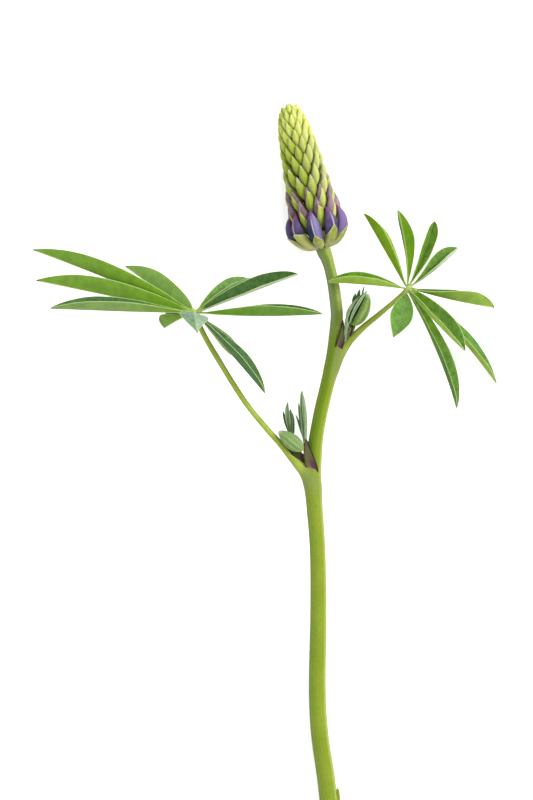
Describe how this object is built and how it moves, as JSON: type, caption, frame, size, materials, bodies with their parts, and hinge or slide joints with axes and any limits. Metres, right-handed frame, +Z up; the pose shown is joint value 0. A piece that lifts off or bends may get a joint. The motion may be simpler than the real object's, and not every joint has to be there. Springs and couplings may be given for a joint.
{
  "type": "lupin flower spike",
  "caption": "Cut lupin stem lying on a surface, with a spike of whorled buds opening purple at the base and hand-shaped leaves on long stalks.",
  "frame": {"origin": "centre of the outline seen from above, at the level of the surface the stem lies on", "axes": "+Z up from the surface, +Y from the cut end of the stem towards the spike, +X to the right seen from above"},
  "size_m": [0.1751, 0.2688, 0.0432],
  "materials": {
    "stem_green": "smooth, slightly glossy skin with fine lengthwise ridges",
    "leaf_green": "satin leaf blade, greyer and softer on its underside, with a fine pale hairy margin",
    "young_green": "soft, closely hairy young growth",
    "stipule_brown": "dry, matt, dark purple brown",
    "bud_green": "satin bud with a paler tip",
    "tip_green": "satin, pale yellow green",
    "calyx_green": "finely hairy, olive green",
    "petal_purple": "satin petal, violet blue to purple with pale edges"
  },
  "bodies": {
    "root": {"main_stem": "stem_green", "left_petiole": "stem_green", "right_petiole": "stem_green", "left_leaflet_01": "leaf_green", "left_leaflet_02": "leaf_green", "left_leaflet_03": "leaf_green", "left_leaflet_04": "leaf_green", "left_leaflet_05": "leaf_green", "left_leaflet_06": "leaf_green", "left_leaflet_07": "leaf_green", "left_leaflet_08": "leaf_green", "left_leaflet_09": "leaf_green", "left_leaflet_10": "leaf_green", "left_leaflet_11": "leaf_green", "right_leaflet_01": "leaf_green", "right_leaflet_02": "leaf_green", "right_leaflet_03": "leaf_green", "right_leaflet_04": "leaf_green", "right_leaflet_05": "leaf_green", "right_leaflet_06": "leaf_green", "right_leaflet_07": "leaf_green", "right_leaflet_08": "leaf_green", "right_leaflet_09": "leaf_green", "right_leaflet_10": "leaf_green", "lower_stipule_left": "stipule_brown", "lower_stipule_right": "stipule_brown", "upper_stipule_left": "stipule_brown", "upper_stipule_right": "stipule_brown", "lower_axil_bud": "young_green", "lower_axil_leaf_left": "young_green", "lower_axil_leaf_right": "young_green", "upper_axil_leaf": "young_green", "upper_axil_bud": "young_green", "flower_1_calyx": "calyx_green", "flower_1_petals": "petal_purple", "flower_2_calyx": "calyx_green", "flower_2_petals": "petal_purple", "flower_3_calyx": "calyx_green", "flower_3_petals": "petal_purple", "flower_4_calyx": "calyx_green", "flower_4_petals": "petal_purple", "flower_5_calyx": "calyx_green", "flower_5_petals": "petal_purple", "flower_6_calyx": "calyx_green", "flower_6_petals": "petal_purple", "flower_7_calyx": "calyx_green", "flower_7_petals": "petal_purple", "flower_8_calyx": "calyx_green", "flower_8_petals": "petal_purple", "flower_9_calyx": "calyx_green", "flower_9_petals": "petal_purple", "bud_whorl_02": "bud_green", "bud_whorl_03": "bud_green", "bud_whorl_04": "bud_green", "bud_whorl_05": "bud_green", "bud_whorl_06": "bud_green", "bud_whorl_07": "bud_green", "bud_whorl_08": "bud_green", "bud_whorl_09": "bud_green", "spike_tip": "tip_green"}
  },
  "joints": []
}
